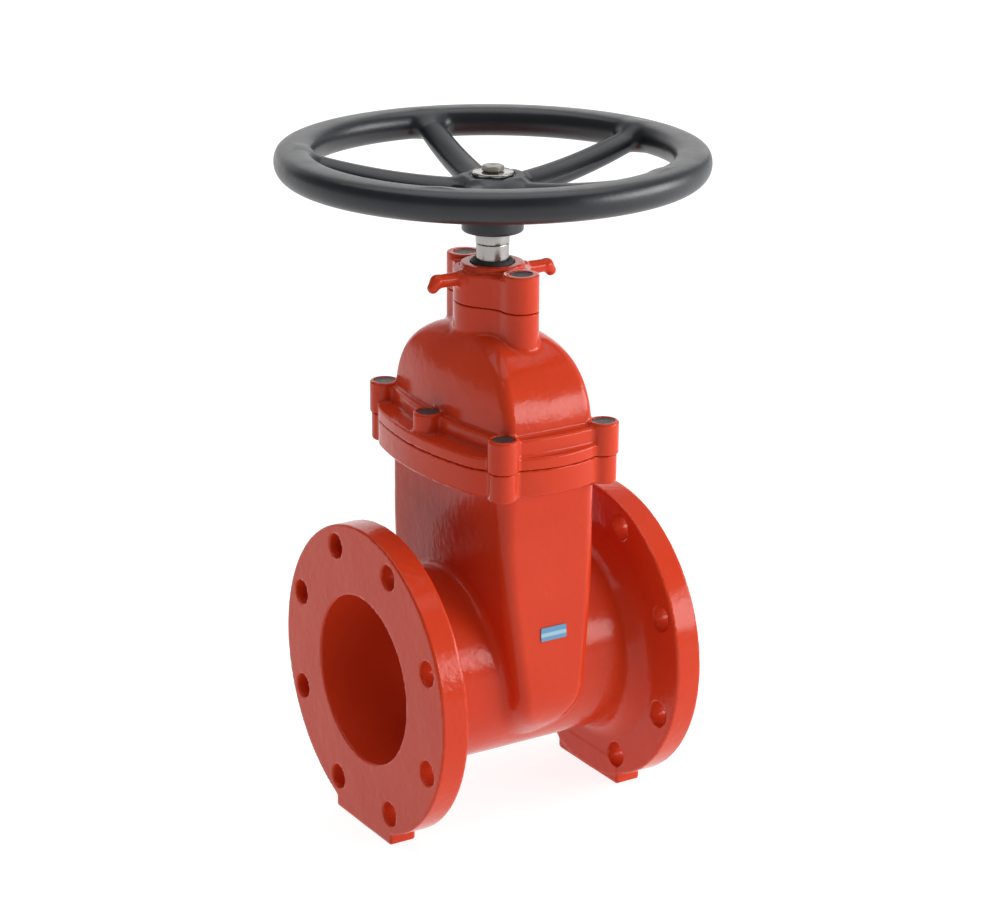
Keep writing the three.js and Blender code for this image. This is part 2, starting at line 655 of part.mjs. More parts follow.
// Small plain plate stuck on the narrow face of the body, leaning with that face.
function buildLabel() {
  const [low, height, high] = [180, 194, 230];
  const [lowReach, highReach] = [pocketReach(low), pocketReach(high)];
  const lean = (Math.atan2(lowReach - highReach, high - low) * 180) / Math.PI;
  const faceY = lowReach + ((highReach - lowReach) * (height - low)) / (high - low);
  const plate = prism(roundedBox(13, 6, 1.5), -0.4, 0.4).rotate([90, 0, 0]).rotate([-lean, 0, 0]);
  return plate.translate([0, -faceY - 0.4 - GAP, height]);
}

// ---------------------------------------------------------------- assembly
addPiece('body', buildBody(), 'red_epoxy');
addPiece('bonnet', buildBonnet(), 'red_epoxy');
const gasketTop = JOINT_HEIGHT - GAP / 2;
addPiece('bonnet_gasket', gasketRing(GAP, gasketTop - GASKET_DEPTH + GAP, gasketTop), 'black_rubber');
BONNET_BOLT_PLACES.forEach(([x, y], i) => {
  const bolt = socketBolt(x, y, BONNET_PLATE_TOP - 1 + GAP, BODY_FLANGE_BOTTOM + 5);
  addPiece(`bonnet_bolt_${i + 1}`, bolt, 'zinc_steel');
  addPiece(`bonnet_bolt_wax_${i + 1}`, waxPlug(x, y, BONNET_LUG_TOP), 'sealing_wax');
});

addPiece('seal_housing', buildSealHousing(), 'red_epoxy');
[1, -1].forEach((side, i) => {
  const y = side * NECK_BOSS_OFFSET;
  const seat = HOUSING_BOSS_TOP - WAX_THICKNESS - BOLT_HEAD_HEIGHT - 1 + GAP;
  addPiece(`housing_bolt_${i + 1}`, socketBolt(0, y, seat, THRUST_SEAT + 2), 'zinc_steel');
  addPiece(`housing_bolt_wax_${i + 1}`, waxPlug(0, y, HOUSING_BOSS_TOP), 'sealing_wax');
});
addPiece('housing_o_ring', roundRing(HOUSING_SEAL_RADIUS, 1.3, NECK_TOP + GAP + 1.3), 'black_rubber');
addPiece('stem_bushing', buildBushing(), 'brass');
STEM_SEAL_HEIGHTS.forEach((height, i) => {
  addPiece(`stem_o_ring_${i + 1}`, roundRing(STEM_RADIUS + GAP + 1.4, 1.4, height), 'black_rubber');
});
const wiper = ring(STEM_RADIUS + GAP, 19, HOUSING_TOP + 1.5 + GAP, HOUSING_COLLAR_TOP + 3);
addPiece('wiper_ring', wiper, 'black_rubber');
addPiece('thrust_washer_lower', ring(THREAD_RADIUS + 1, 24, THRUST_SEAT + GAP, 457.9), 'brass');
addPiece('thrust_washer_upper', ring(STEM_RADIUS + GAP, 24, 468.1, NECK_TOP - GAP), 'brass');

addPiece('stem', buildStem(), 'stainless');
addPiece('wedge_core', buildWedgeCore().translate([0, 0, WEDGE_LIFT]), 'ductile_iron');
addPiece('wedge_rubber', buildWedgeRubber().translate([0, 0, WEDGE_LIFT]), 'black_rubber');
addPiece('wedge_nut', buildNut().translate([0, 0, WEDGE_LIFT]), 'brass');
addPiece('wedge_shoe_left', buildShoe(1).translate([0, 0, WEDGE_LIFT]), 'nylon');
addPiece('wedge_shoe_right', buildShoe(-1).translate([0, 0, WEDGE_LIFT]), 'nylon');

addPiece('handwheel', buildHandwheel(), 'black_enamel');
const spacer = ring(STEM_NECK_RADIUS + GAP, 16.3, STEM_SHOULDER + GAP, HUB_BOTTOM - GAP);
addPiece('handwheel_spacer', spacer, 'stainless');
addPiece('handwheel_washer', ring(5 + GAP, 18, HUB_TOP + GAP, HUB_TOP + 4), 'stainless');
addPiece('handwheel_bolt', buildWheelBolt(), 'zinc_steel');
addPiece('label_plate', buildLabel(), 'label');

export default group;
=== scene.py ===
"""Gate valve: detailed castings, turned parts, materials, floor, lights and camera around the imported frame.

Lengths are millimetres in the valve's own frame (X along the pipe, Z up the stem). Meshes are in metres.
"""
import json
import math

import bmesh
import bpy
import numpy as np
import openvdb
from mathutils import Matrix, Vector


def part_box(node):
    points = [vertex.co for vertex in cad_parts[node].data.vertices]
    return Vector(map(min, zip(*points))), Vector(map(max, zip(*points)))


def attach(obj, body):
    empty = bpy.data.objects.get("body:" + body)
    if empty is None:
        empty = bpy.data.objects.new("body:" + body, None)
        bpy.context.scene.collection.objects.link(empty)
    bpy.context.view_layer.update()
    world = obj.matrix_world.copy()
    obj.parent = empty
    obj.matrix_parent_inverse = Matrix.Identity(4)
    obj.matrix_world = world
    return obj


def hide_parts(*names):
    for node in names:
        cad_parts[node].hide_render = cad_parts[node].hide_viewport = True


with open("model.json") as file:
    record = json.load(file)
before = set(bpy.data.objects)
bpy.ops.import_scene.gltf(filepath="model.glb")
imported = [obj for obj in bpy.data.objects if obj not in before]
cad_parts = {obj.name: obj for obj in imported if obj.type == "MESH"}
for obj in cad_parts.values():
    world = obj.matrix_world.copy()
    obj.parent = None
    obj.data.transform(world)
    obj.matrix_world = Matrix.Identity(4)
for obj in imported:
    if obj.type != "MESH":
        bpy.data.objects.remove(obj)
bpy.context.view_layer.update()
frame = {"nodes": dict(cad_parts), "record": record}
MM = 0.001

# ---------------------------------------------------------------- driving dimensions
PIPE_HEIGHT = 141.0
FACE = 133.35                    # half the face-to-face length
FLANGE_RADIUS = 139.7
FLANGE_THICKNESS = 25.4
FLANGE_HOLE_COUNT = 8
FLANGE_HOLE_RADIUS = 11.1
FLANGE_HOLE_CIRCLE = 120.65
BORE_RADIUS = 76.2
BARREL_RADIUS = 87.0
FOOT_HALF_WIDTH = 49.0
POCKET_REACH = 106.0             # half length of the wedge pocket at the height of the pipe
POCKET_LEAN = 8.7                # what its narrow faces lean in on the way up
POCKET_HALF_WIDTH = 48.5
POCKET_NARROWING = 12.5          # what its half width loses on the way down
POCKET_FULL_HEIGHT = 280.0       # the pocket is full width from here up
POCKET_CORNER = 13.0
TONGUE_DEPTH_ENDS = 70.0         # how far below the pipe axis its outline would close, seen from the ends
TONGUE_DEPTH_SIDES = 56.0
RAIL_HALF_WIDTH = 4.7
RAIL_FACE = 82.2
RAIL_BOTTOM, RAIL_TOP = 152.0, 344.0
JOINT_HEIGHT = 350.0
BODY_FLANGE_BOTTOM = 326.0
BONNET_PLATE_TOP = 361.0
BONNET_SHOULDER_TOP = 376.0
BONNET_BOSS_TOP = 379.0
BONNET_LUG_RADIUS = 13.5
BODY_LUG_RADIUS = 12.0
BOLT_PLACES = [(51, 100), (-51, 100), (-65, 0), (-51, -100), (51, -100), (65, 0)]
BOLT_HOLE_RADIUS = 6.3
COUNTERBORE_RADIUS = 10.0
DOME_BASE = 357.0
DOME_HALF_LENGTH = 98.0
DOME_END_RISE, DOME_END_POWER = 95.0, 2.4      # arch over the length, seen from the side
DOME_HALF_WIDTH = 54.5
DOME_END_NARROWING = 11.0                      # what the half width loses at the two ends
DOME_SIDE_RISE, DOME_SIDE_POWER = 97.0, 2.7    # arch over the width, seen from the end
DOME_EDGE = 8.0
CAVITY_BASE, CAVITY_RISE = 355.0, 86.0
CAVITY_HALF_WIDTH, CAVITY_HALF_LENGTH = 42.0, 87.0
CAVITY_PLAN_POWER, CAVITY_SIDE_POWER = 2.6, 2.25
STEM_PASSAGE_RADIUS = 15.0
THRUST_SEAT = 454.7
THRUST_SEAT_RADIUS = 24.7
NECK_TOP = 471.0
NECK_RADIUS = 34.0
NECK_BOSS_RADIUS = 16.0
NECK_BOSS_OFFSET = 46.0
HOUSING_BOSS_TOP = 503.5
HOUSING_TOP = 499.0
HOUSING_COLLAR_TOP = 504.5
STEM_RADIUS = 14.5
HUB_BOTTOM = 532.0
HUB_TOP = 580.0
HUB_PROFILE = ((532, 27), (541, 27), (552, 26.5), (563, 31), (575, 31.5), (580, 27))    # height, radius
HUB_SQUARE = 19.2
WASHER_SEAT_RADIUS = 19.5
RIM_RADIUS = 171.0
RIM_HEIGHT = 594.6
RIM_HALF_WIDTH = 16.4
RIM_HALF_HEIGHT = 15.6
RIM_POWER = 2.1
RIM_TOP = RIM_HEIGHT + 13.0      # the rim is planed off here
SPOKE_FLATNESS = 0.8             # spokes are wider than they are high
SPOKE_COUNT = 5
SPOKE_TURN = 7.3
SPOKE_HEIGHT = 565.6             # of a spoke's middle line, carried on to the wheel's axis
SPOKE_SLOPE, SPOKE_CURVE = 0.02, 0.0009
SPOKE_RADIUS, SPOKE_TAPER = 11.6, 0.0135
STEM_BOTTOM = 229.0
STEM_TOP = 574.0
STEM_COLLAR = (23.0, 458.2, 467.8)             # radius, bottom and top of the thrust collar
STEM_SHOULDER = 521.5
STEM_NECK_RADIUS = 13.4
STEM_SQUARE = 18.6
THREAD_RADIUS = 14.0
THREAD_DEPTH = 2.6
THREAD_LEAD = 8.0
THREAD_LOW, THREAD_HIGH = 231.0, 450.0
WASHER_TOP = 584.0
BOLT_HEAD_TOP = 589.4
HEX_FLAT = 8.4                   # half the width across the flats
GASKET_MIDDLE = (45.5, 93.5, 15.5)
GASKET_HALF_WIDTH = 2.7
HOUSING_SEAL_RADIUS = 28.5
SEAM = 0.15                      # half the joint clearance
LABEL_BAND = (0.1915, 0.1955)    # bottom and top of the label's pale band, metres above the floor


# ---------------------------------------------------------------- signed-distance tools (negative inside)

def fuse(first, second, fillet=0.0):
    """Union with a round fillet of the given radius in the corner."""
    if fillet == 0:
        return np.minimum(first, second)
    corner = np.hypot(np.maximum(fillet - first, 0), np.maximum(fillet - second, 0))
    return np.maximum(fillet, np.minimum(first, second)) - corner


def trim(first, second, edge=0.0):
    """Intersection with a round edge of the given radius."""
    if edge == 0:
        return np.maximum(first, second)
    corner = np.hypot(np.maximum(edge + first, 0), np.maximum(edge + second, 0))
    return np.minimum(-edge, np.maximum(first, second)) + corner


def carve(base, tool, edge=0.0):
    return trim(base, -tool, edge)


def slab(value, low, high):
    return np.maximum(low - value, value - high)


def rod(x, y, z, centre, radius, low, high, edge=1.0):
    """Round rod standing on Z at centre (x, y)."""
    return trim(np.hypot(x - centre[0], y - centre[1]) - radius, slab(z, low, high), edge)


def box(x, y, z, low, high, edge=1.0):
    flat = trim(slab(x, low[0], high[0]), slab(y, low[1], high[1]), edge)
    return trim(flat, slab(z, low[2], high[2]), edge)


def capsule(x, y, z, start, end, start_radius, end_radius):
    """Round bar between two points, its radius changing evenly along it."""
    start, end = np.asarray(start, float), np.asarray(end, float)
    way = end - start
    along = ((x - start[0]) * way[0] + (y - start[1]) * way[1] + (z - start[2]) * way[2]) / way.dot(way)
    along = np.clip(along, 0, 1)
    reach = np.sqrt((x - start[0] - along * way[0]) ** 2 + (y - start[1] - along * way[1]) ** 2
                    + (z - start[2] - along * way[2]) ** 2)
    return reach - (start_radius + along * (end_radius - start_radius))


def from_level(level, x, y, z, step=0.5):
    """Distance to the surface level(x, y, z) = 1, from the level's own slope."""
    here = level(x, y, z)
    slope = np.sqrt((level(x + step, y, z) - here) ** 2 + (level(x, y + step, z) - here) ** 2
                    + (level(x, y, z + step) - here) ** 2) / step
    return (here - 1) / np.maximum(slope, 1e-4)


def bowed(across, along, middle, end, length, power=2.0):
    """Distance outside a side that bows out: middle wide at its centre, end wide at length from it."""
    fall = (middle - end) / length ** power
    slope = fall * power * abs(along) ** (power - 1)
    return (abs(across) - middle + fall * abs(along) ** power) / np.sqrt(1 + slope ** 2)


def joint_plan(x, y):
    """Plan of the oval joint flange."""
    return trim(bowed(x, y, 81.0, 59.5, 110.0), bowed(y, x, 115.0, 105.0, 44.0), 12.0)


def rounded_box(x, y, plan):
    """Distance to a rectangle with rounded corners, (half width, half length, corner radius)."""
    half_x, half_y, corner = plan
    out_x, out_y = abs(x) - half_x + corner, abs(y) - half_y + corner
    outside = np.hypot(np.maximum(out_x, 0), np.maximum(out_y, 0))
    return outside + np.minimum(np.maximum(out_x, out_y), 0) - corner


def lugs(x, y, z, radius, low, high, edge=2.0):
    return np.minimum.reduce([rod(x, y, z, spot, radius, low, high, edge) for spot in BOLT_PLACES])


def pocket_outside(x, y, z):
    """Upright pocket around the wedge; its narrow faces end in a rounded tongue on the barrel."""
    below = np.maximum(PIPE_HEIGHT - z, 0)
    climb = np.clip((z - PIPE_HEIGHT) / (POCKET_FULL_HEIGHT - PIPE_HEIGHT), 0, 1)
    reach = POCKET_REACH - POCKET_LEAN * climb ** 1.1
    reach = reach * np.sqrt(np.maximum(1 - (below / TONGUE_DEPTH_ENDS) ** 2, 0))
    half = POCKET_HALF_WIDTH - POCKET_NARROWING * (1 - climb) ** 1.5
    half = half * np.sqrt(np.maximum(1 - (below / TONGUE_DEPTH_SIDES) ** 2, 0))
    lean = np.sqrt(1 + (below / 40.0) ** 2)
    return trim((abs(y) - reach) / lean, (abs(x) - half) / lean, POCKET_CORNER)


def pocket_inside(x, y, z):
    """Room for the wedge: its half length and half width at some heights, with rounded corners."""
    heights = [118, 132, 150, 175, 230, 290, 360]
    end = abs(y) - np.interp(z, heights, [66, 78, 88, 90, 90, 88, 88])
    side = abs(x) - np.interp(z, heights, [24, 26, 29, 33, 38, 40, 40])
    return trim(trim(end, side, 10.0), 118 - z, 4.0)


def end_flange(across, x, y, z):
    """Both round end flanges with their square feet; across is the distance from the pipe axis."""
    plate = slab(abs(x), FACE - FLANGE_THICKNESS, FACE + 9)
    flange = trim(across - FLANGE_RADIUS, plate, 2.0)
    foot = trim(trim(abs(y) - FOOT_HALF_WIDTH, slab(z, 0, 24), 2.5), plate, 2.0)
    return fuse(flange, foot, 2.0)


def flange_holes(across, x, y, z):
    """Ring of bolt holes through both end flanges."""
    turn = np.arctan2(z - PIPE_HEIGHT, y)
    pitch = math.tau / FLANGE_HOLE_COUNT
    off = (turn % pitch) - pitch / 2
    u, v = across * np.cos(off), across * np.sin(off)
    return np.maximum(np.hypot(u - FLANGE_HOLE_CIRCLE, v) - FLANGE_HOLE_RADIUS, FACE - 40 - abs(x))


def body_field(x, y, z):
    """Barrel, wedge pocket, end flanges and joint flange, hollowed, drilled and fitted with rails."""
    across = np.hypot(y, z - PIPE_HEIGHT)
    barrel = np.maximum(across - BARREL_RADIUS, abs(x) - (FACE + 9))
    pocket = np.maximum(pocket_outside(x, y, z), z - (JOINT_HEIGHT - 4))
    shell = fuse(barrel, pocket, 8.0)
    shell = fuse(shell, end_flange(across, x, y, z), 20.0)
    shell = trim(shell, abs(x) - FACE, 1.5)
    shell = np.maximum(shell, -z)
    top = JOINT_HEIGHT - SEAM
    lip = trim(joint_plan(x, y), slab(z, BODY_FLANGE_BOTTOM, top + 9), 2.5)
    lip = fuse(lip, lugs(x, y, z, BODY_LUG_RADIUS, BODY_FLANGE_BOTTOM - 2, top + 9), 4.0)
    shell = trim(fuse(shell, lip, 6.0), z - top, 0.8)
    shell = carve(shell, across - BORE_RADIUS, 1.5)
    shell = carve(shell, pocket_inside(x, y, z), 3.0)
    shell = carve(shell, flange_holes(across, x, y, z), 1.2)
    shell = carve(shell, lugs(x, y, z, BOLT_HOLE_RADIUS, BODY_FLANGE_BOTTOM + 3, top + 9, 0.5))
    length = np.maximum(slab(abs(y), RAIL_FACE, 94), slab(z, RAIL_BOTTOM, RAIL_TOP))
    shell = np.minimum(shell, trim(abs(x) - RAIL_HALF_WIDTH, length, 1.0))
    gasket_groove = abs(rounded_box(x, y, GASKET_MIDDLE)) - GASKET_HALF_WIDTH
    return carve(shell, np.maximum(gasket_groove, top - 3.8 - z))


# ---------------------------------------------------------------- bonnet casting

def dome_outside(x, y, z):
    """Dome of two crossing arches: a narrow one end to end and a broader one side to side."""
    def end_level(p, q, r):
        length = (abs(q) / DOME_HALF_LENGTH) ** DOME_END_POWER
        height = (np.maximum(r - DOME_BASE, 0) / DOME_END_RISE) ** DOME_END_POWER
        return (length + height) ** (1 / DOME_END_POWER) + 0 * p
    ends = from_level(end_level, x, y, z)
    rise = np.maximum(z - DOME_BASE, 0)
    shrink = np.maximum(1 - (rise / DOME_SIDE_RISE) ** DOME_SIDE_POWER, 1e-3) ** (1 / DOME_SIDE_POWER)
    lean = np.interp(rise, [0, 45, 65, 85, 94, 97], [1, 1.03, 1.1, 1.5, 2.6, 4.0])
    half = DOME_HALF_WIDTH - DOME_END_NARROWING * (y / DOME_HALF_LENGTH) ** 2
    return trim(ends, (abs(x) - shrink * half) / lean, DOME_EDGE)


def dome_inside(x, y, z):
    """Superellipsoid hollow, straight-sided below its base."""
    def level(p, q, r):
        width = abs(p / CAVITY_HALF_WIDTH) ** CAVITY_PLAN_POWER
        length = abs(q / CAVITY_HALF_LENGTH) ** CAVITY_PLAN_POWER
        flat = (width + length) ** (CAVITY_SIDE_POWER / CAVITY_PLAN_POWER)
        height = (np.maximum(r - CAVITY_BASE, 0) / CAVITY_RISE) ** CAVITY_SIDE_POWER
        return (flat + height) ** (1 / CAVITY_SIDE_POWER)
    return from_level(level, x, y, z)


def neck_field(x, y, z, low, high, boss_high, edge):
    """Round barrel with a bolt boss at each end and webs that taper to the bosses."""
    barrel = rod(x, y, z, (0, 0), NECK_RADIUS, low, high, edge)
    bosses = rod(x, abs(y), z, (0, NECK_BOSS_OFFSET), NECK_BOSS_RADIUS, low, boss_high, edge)
    taper = 0.93 * (abs(x) - 31.0 + 0.37 * abs(y))
    web = trim(np.maximum(taper, abs(y) - NECK_BOSS_OFFSET), slab(z, low, min(high, boss_high)), edge)
    return fuse(fuse(barrel, web, 3.0), bosses, 3.0)


def bonnet_outside(x, y, z, low):
    """Joint plate, shoulder, dome, neck and lugs, cut flat at the joint."""
    plate = trim(joint_plan(x, y), slab(z, low - 9, BONNET_PLATE_TOP), 2.0)
    shoulder = trim(bowed(x, y, 62.0, 46.0, 105.0), bowed(y, x, 108.0, 104.0, 44.0), 10.0)
    shoulder = trim(shoulder, slab(z, low - 9, BONNET_SHOULDER_TOP), 2.5)
    neck = neck_field(x, y, z, 380.0, NECK_TOP + 9, NECK_TOP + 9, 1.2)
    shell = trim(fuse(dome_outside(x, y, z), neck, 3.5), z - (NECK_TOP - 2 * SEAM), 0.8)
    shell = fuse(fuse(plate, shoulder, 3.0), shell, 2.5)
    shell = fuse(shell, lugs(x, y, z, BONNET_LUG_RADIUS, low - 9, BONNET_BOSS_TOP), 3.0)
    return trim(shell, low - z, 0.8)


def bonnet_inside(x, y, z):
    """Hollow for the raised wedge, the stem's passage and the seat of its thrust washers."""
    inside = np.maximum(dome_inside(x, y, z), 366.0 - z)
    throat = trim(abs(y) - 88, abs(x) - 41.0, 14.0)
    inside = fuse(inside, np.maximum(throat, z - 379), 2.0)
    inside = np.minimum(inside, rod(x, y, z, (0, 0), STEM_PASSAGE_RADIUS, CAVITY_BASE, NECK_TOP + 5, 0.5))
    return np.minimum(inside, rod(x, y, z, (0, 0), THRUST_SEAT_RADIUS, THRUST_SEAT, NECK_TOP + 5, 0.3))


def bonnet_field(x, y, z):
    low = JOINT_HEIGHT + SEAM
    shell = carve(bonnet_outside(x, y, z, low), bonnet_inside(x, y, z), 1.0)
    sinks = lugs(x, y, z, COUNTERBORE_RADIUS, BONNET_PLATE_TOP - 1, BONNET_BOSS_TOP + 9, 0.5)
    shell = carve(shell, sinks, 0.5)
    shell = carve(shell, lugs(x, y, z, BOLT_HOLE_RADIUS, low - 9, BONNET_BOSS_TOP, 0.5))
    neck_holes = rod(x, abs(y), z, (0, NECK_BOSS_OFFSET), BOLT_HOLE_RADIUS, 455.0, NECK_TOP + 9, 0.5)
    return carve(shell, neck_holes, 0.8)


# ---------------------------------------------------------------- seal housing casting

def arm_field(x, y, z):
    """Hook-ended arm along X on each side."""
    side = abs(x)
    bar = capsule(side, y, z, (22, 0, 493.5), (56, 0, 493.5), 6.4, 5.8)
    tip = capsule(side, y, z, (56, 0, 493.5), (60, 0, 488.5), 5.8, 5.0)
    return fuse(bar, tip, 2.0)


def housing_field(x, y, z):
    """Seal housing: neck section with a collar, two arms, bores for ring and bushing, and sunk bolts."""
    low = NECK_TOP + SEAM
    shell = neck_field(x, y, z, low, HOUSING_TOP, HOUSING_BOSS_TOP, 1.5)
    shell = fuse(shell, rod(x, y, z, (0, 0), 28.0, HOUSING_TOP - 6, HOUSING_COLLAR_TOP, 2.0), 2.5)
    shell = fuse(shell, arm_field(x, y, z), 4.0)
    shell = np.maximum(shell, low - z)
    shell = carve(shell, rod(x, y, z, (0, 0), 15.5, low - 9, HOUSING_COLLAR_TOP + 9, 0.5), 0.5)
    shell = carve(shell, rod(x, y, z, (0, 0), 20.8, low - 9, 493.6, 0.3), 0.5)
    shell = carve(shell, rod(x, y, z, (0, 0), 19.5, HOUSING_TOP + 1.2, HOUSING_COLLAR_TOP + 9, 0.3), 1.0)
    seal = np.hypot(np.hypot(x, y) - HOUSING_SEAL_RADIUS, z - NECK_TOP - 1.6) - 1.7
    shell = carve(shell, seal, 0.3)
    sink = rod(x, abs(y), z, (0, NECK_BOSS_OFFSET), COUNTERBORE_RADIUS, 485.5, HOUSING_BOSS_TOP + 9, 0.5)
    bolt_hole = rod(x, abs(y), z, (0, NECK_BOSS_OFFSET), BOLT_HOLE_RADIUS, low - 9, HOUSING_BOSS_TOP, 0.5)
    return carve(shell, np.minimum(sink, bolt_hole), 1.0)


# ---------------------------------------------------------------- handwheel casting

def wheel_field(x, y, z):
    """Rim, hub and five spokes, with a square hole and a seat for the washer."""
    reach = np.hypot(x, y)
    def rim_level(p, q, r):
        flat = abs((np.hypot(p, q) - RIM_RADIUS) / RIM_HALF_WIDTH) ** RIM_POWER
        return (flat + abs((r - RIM_HEIGHT) / RIM_HALF_HEIGHT) ** RIM_POWER) ** (1 / RIM_POWER)
    rim = trim(from_level(rim_level, x, y, z), z - RIM_TOP, 5.0)
    hub = trim(reach - np.interp(z, *zip(*HUB_PROFILE)), slab(z, HUB_BOTTOM, HUB_TOP), 2.0)
    turn = np.arctan2(y, x) - math.radians(SPOKE_TURN)
    pitch = math.tau / SPOKE_COUNT
    off = (turn + pitch / 2) % pitch - pitch / 2
    u, v = reach * np.cos(off), reach * np.sin(off)
    rise = z - (SPOKE_HEIGHT + SPOKE_SLOPE * u + SPOKE_CURVE * u ** 2)
    lean = np.sqrt(1 + (SPOKE_SLOPE + 2 * SPOKE_CURVE * u) ** 2)
    spoke = np.hypot(SPOKE_FLATNESS * v, rise / lean) - (SPOKE_RADIUS - SPOKE_TAPER * u)
    spoke = np.maximum(spoke, slab(u, 5, 165))
    wheel = fuse(fuse(rim, spoke, 9.0), hub, 9.0)
    wheel = trim(np.maximum(wheel, HUB_BOTTOM - z), z - RIM_TOP, 3.0)
    half = HUB_SQUARE / 2
    hole = np.maximum(slab(x, -half, half), slab(y, -half, half))
    wheel = carve(wheel, hole, 0.8)
    return carve(wheel, rod(x, y, z, (0, 0), WASHER_SEAT_RADIUS, HUB_TOP, HUB_TOP + 9, 0.3), 0.5)


# ---------------------------------------------------------------- stem and the bolt on top of it

def stem_field(x, y, z):
    """Shaft with a left-hand trapezoid thread, a thrust collar, a square for the wheel and a bolt hole."""
    reach = np.hypot(x, y)
    wave = abs((z / THREAD_LEAD + np.arctan2(y, x) / math.tau) % 1.0 * 2 - 1)
    run = np.clip(np.minimum(z - THREAD_LOW, THREAD_HIGH - z) / 6.0, 0, 1)
    groove = THREAD_DEPTH * np.clip((wave - 0.27) / 0.36, 0, 1) * run
    shaft = trim((reach - THREAD_RADIUS + groove) / 1.6, slab(z, STEM_BOTTOM, THREAD_HIGH + 12), 1.0)
    shaft = np.minimum(shaft, rod(x, y, z, (0, 0), *STEM_COLLAR, 0.8))
    shaft = np.minimum(shaft, rod(x, y, z, (0, 0), STEM_RADIUS, 462.0, STEM_SHOULDER, 0.8))
    shaft = np.minimum(shaft, rod(x, y, z, (0, 0), STEM_NECK_RADIUS, 510.0, HUB_BOTTOM - 0.1, 0.3))
    half = STEM_SQUARE / 2
    square = box(x, y, z, (-half, -half, 528.0), (half, half, STEM_TOP), 0.8)
    shaft = np.minimum(shaft, np.maximum(square, reach - 12.4))
    return carve(shaft, rod(x, y, z, (0, 0), 5.2, STEM_TOP - 22, STEM_TOP + 9, 0.3), 0.4)


def bolt_field(x, y, z):
    """Low hexagon head with a chamfered top on a round bearing face, and the shank below it."""
    turns = [math.tau * side / 6 for side in range(6)]
    flats = np.maximum.reduce([x * math.cos(turn) + y * math.sin(turn) for turn in turns]) - HEX_FLAT
    chamfer = (np.hypot(x, y) - HEX_FLAT + 1.7 * (z - BOLT_HEAD_TOP) + 0.3) / 2.0
    head = trim(trim(flats, slab(z, WASHER_TOP + 0.6, BOLT_HEAD_TOP), 0.25), chamfer, 0.2)
    face = rod(x, y, z, (0, 0), HEX_FLAT - 0.4, WASHER_TOP + 0.1, WASHER_TOP + 1.5, 0.1)
    shank = rod(x, y, z, (0, 0), 4.9, STEM_TOP - 17, WASHER_TOP + 1, 0.4)
    dish = np.hypot(np.hypot(x, y), z - BOLT_HEAD_TOP - 11.4) - 12.0
    return np.minimum(carve(np.minimum(head, face), dish, 0.3), shank)


# ---------------------------------------------------------------- mesh making

def link(name, mesh):
    piece = bpy.data.objects.new(name, mesh)
    bpy.context.scene.collection.objects.link(piece)
    return piece


def slope_of(field, points, step=0.2):
    slope = np.empty_like(points)
    for axis in range(3):
        shift = np.zeros(3)
        shift[axis] = step
        slope[:, axis] = field(*(points + shift).T) - field(*(points - shift).T)
    return slope / (2 * step)


def casting(name, field, low, high, voxel):
    """Mesh of the surface field = 0: its points are moved onto the surface and take its own normals."""
    low, high = np.asarray(low, float), np.asarray(high, float)
    counts = np.ceil((high - low) / voxel).astype(int) + 1
    axes = [(low[i] + voxel * np.arange(counts[i])).astype(np.float32) for i in range(3)]
    values = field(*np.meshgrid(*axes, indexing="ij"))
    grid = openvdb.FloatGrid(3 * voxel)
    grid.copyFromArray(np.clip(values, -3 * voxel, 3 * voxel).astype(np.float32))
    points, quads = grid.convertToQuads(0.0)
    points = low + points.astype(float) * voxel
    for _ in range(4):
        slope = slope_of(field, points)
        shift = -field(*points.T) / np.maximum((slope ** 2).sum(axis=1), 0.2)
        points += np.clip(shift, -0.4 * voxel, 0.4 * voxel)[:, None] * slope
    normals = slope_of(field, points)
    normals /= np.maximum(np.linalg.norm(normals, axis=1), 1e-6)[:, None]
    mesh = bpy.data.meshes.new(name)
    mesh.from_pydata((points * MM).tolist(), [], quads.tolist())
    mesh.shade_smooth()
    mesh.normals_split_custom_set_from_vertices(normals.tolist())
    return link(name, mesh)


def turned(name, profile, steps=64, centre=(0, 0), smooth_angle=35):
    """Lathe-turned solid about an upright axis from a closed profile of (radius, height) points."""
    vertices, faces, rows = [], [], len(profile)
    for step in range(steps):
        turn = math.tau * step / steps
        for radius, height in profile:
            vertices.append(((centre[0] + radius * math.cos(turn)) * MM,
                             (centre[1] + radius * math.sin(turn)) * MM, height * MM))
    for step in range(steps):
        here, there = step * rows, (step + 1) % steps * rows
        for row in range(rows):
            after = (row + 1) % rows
            if profile[row][0] == 0 and profile[after][0] == 0:
                continue
            faces.append((here + row, there + row, there + after, here + after))
    mesh = bpy.data.meshes.new(name)
    mesh.from_pydata(vertices, [], faces)
    finish_mesh(mesh, smooth_angle)
    return link(name, mesh)


def finish_mesh(mesh, smooth_angle):
    """Welds doubled points, points the faces outwards and smooths all but the sharp edges."""
    work = bmesh.new()
    work.from_mesh(mesh)
    bmesh.ops.remove_doubles(work, verts=work.verts, dist=1e-6)
    bmesh.ops.dissolve_degenerate(work, edges=work.edges, dist=1e-7)
    bmesh.ops.recalc_face_normals(work, faces=work.faces)
    work.to_mesh(mesh)
    work.free()
    mesh.shade_smooth()
    mesh.set_sharp_from_angle(angle=math.radians(smooth_angle))


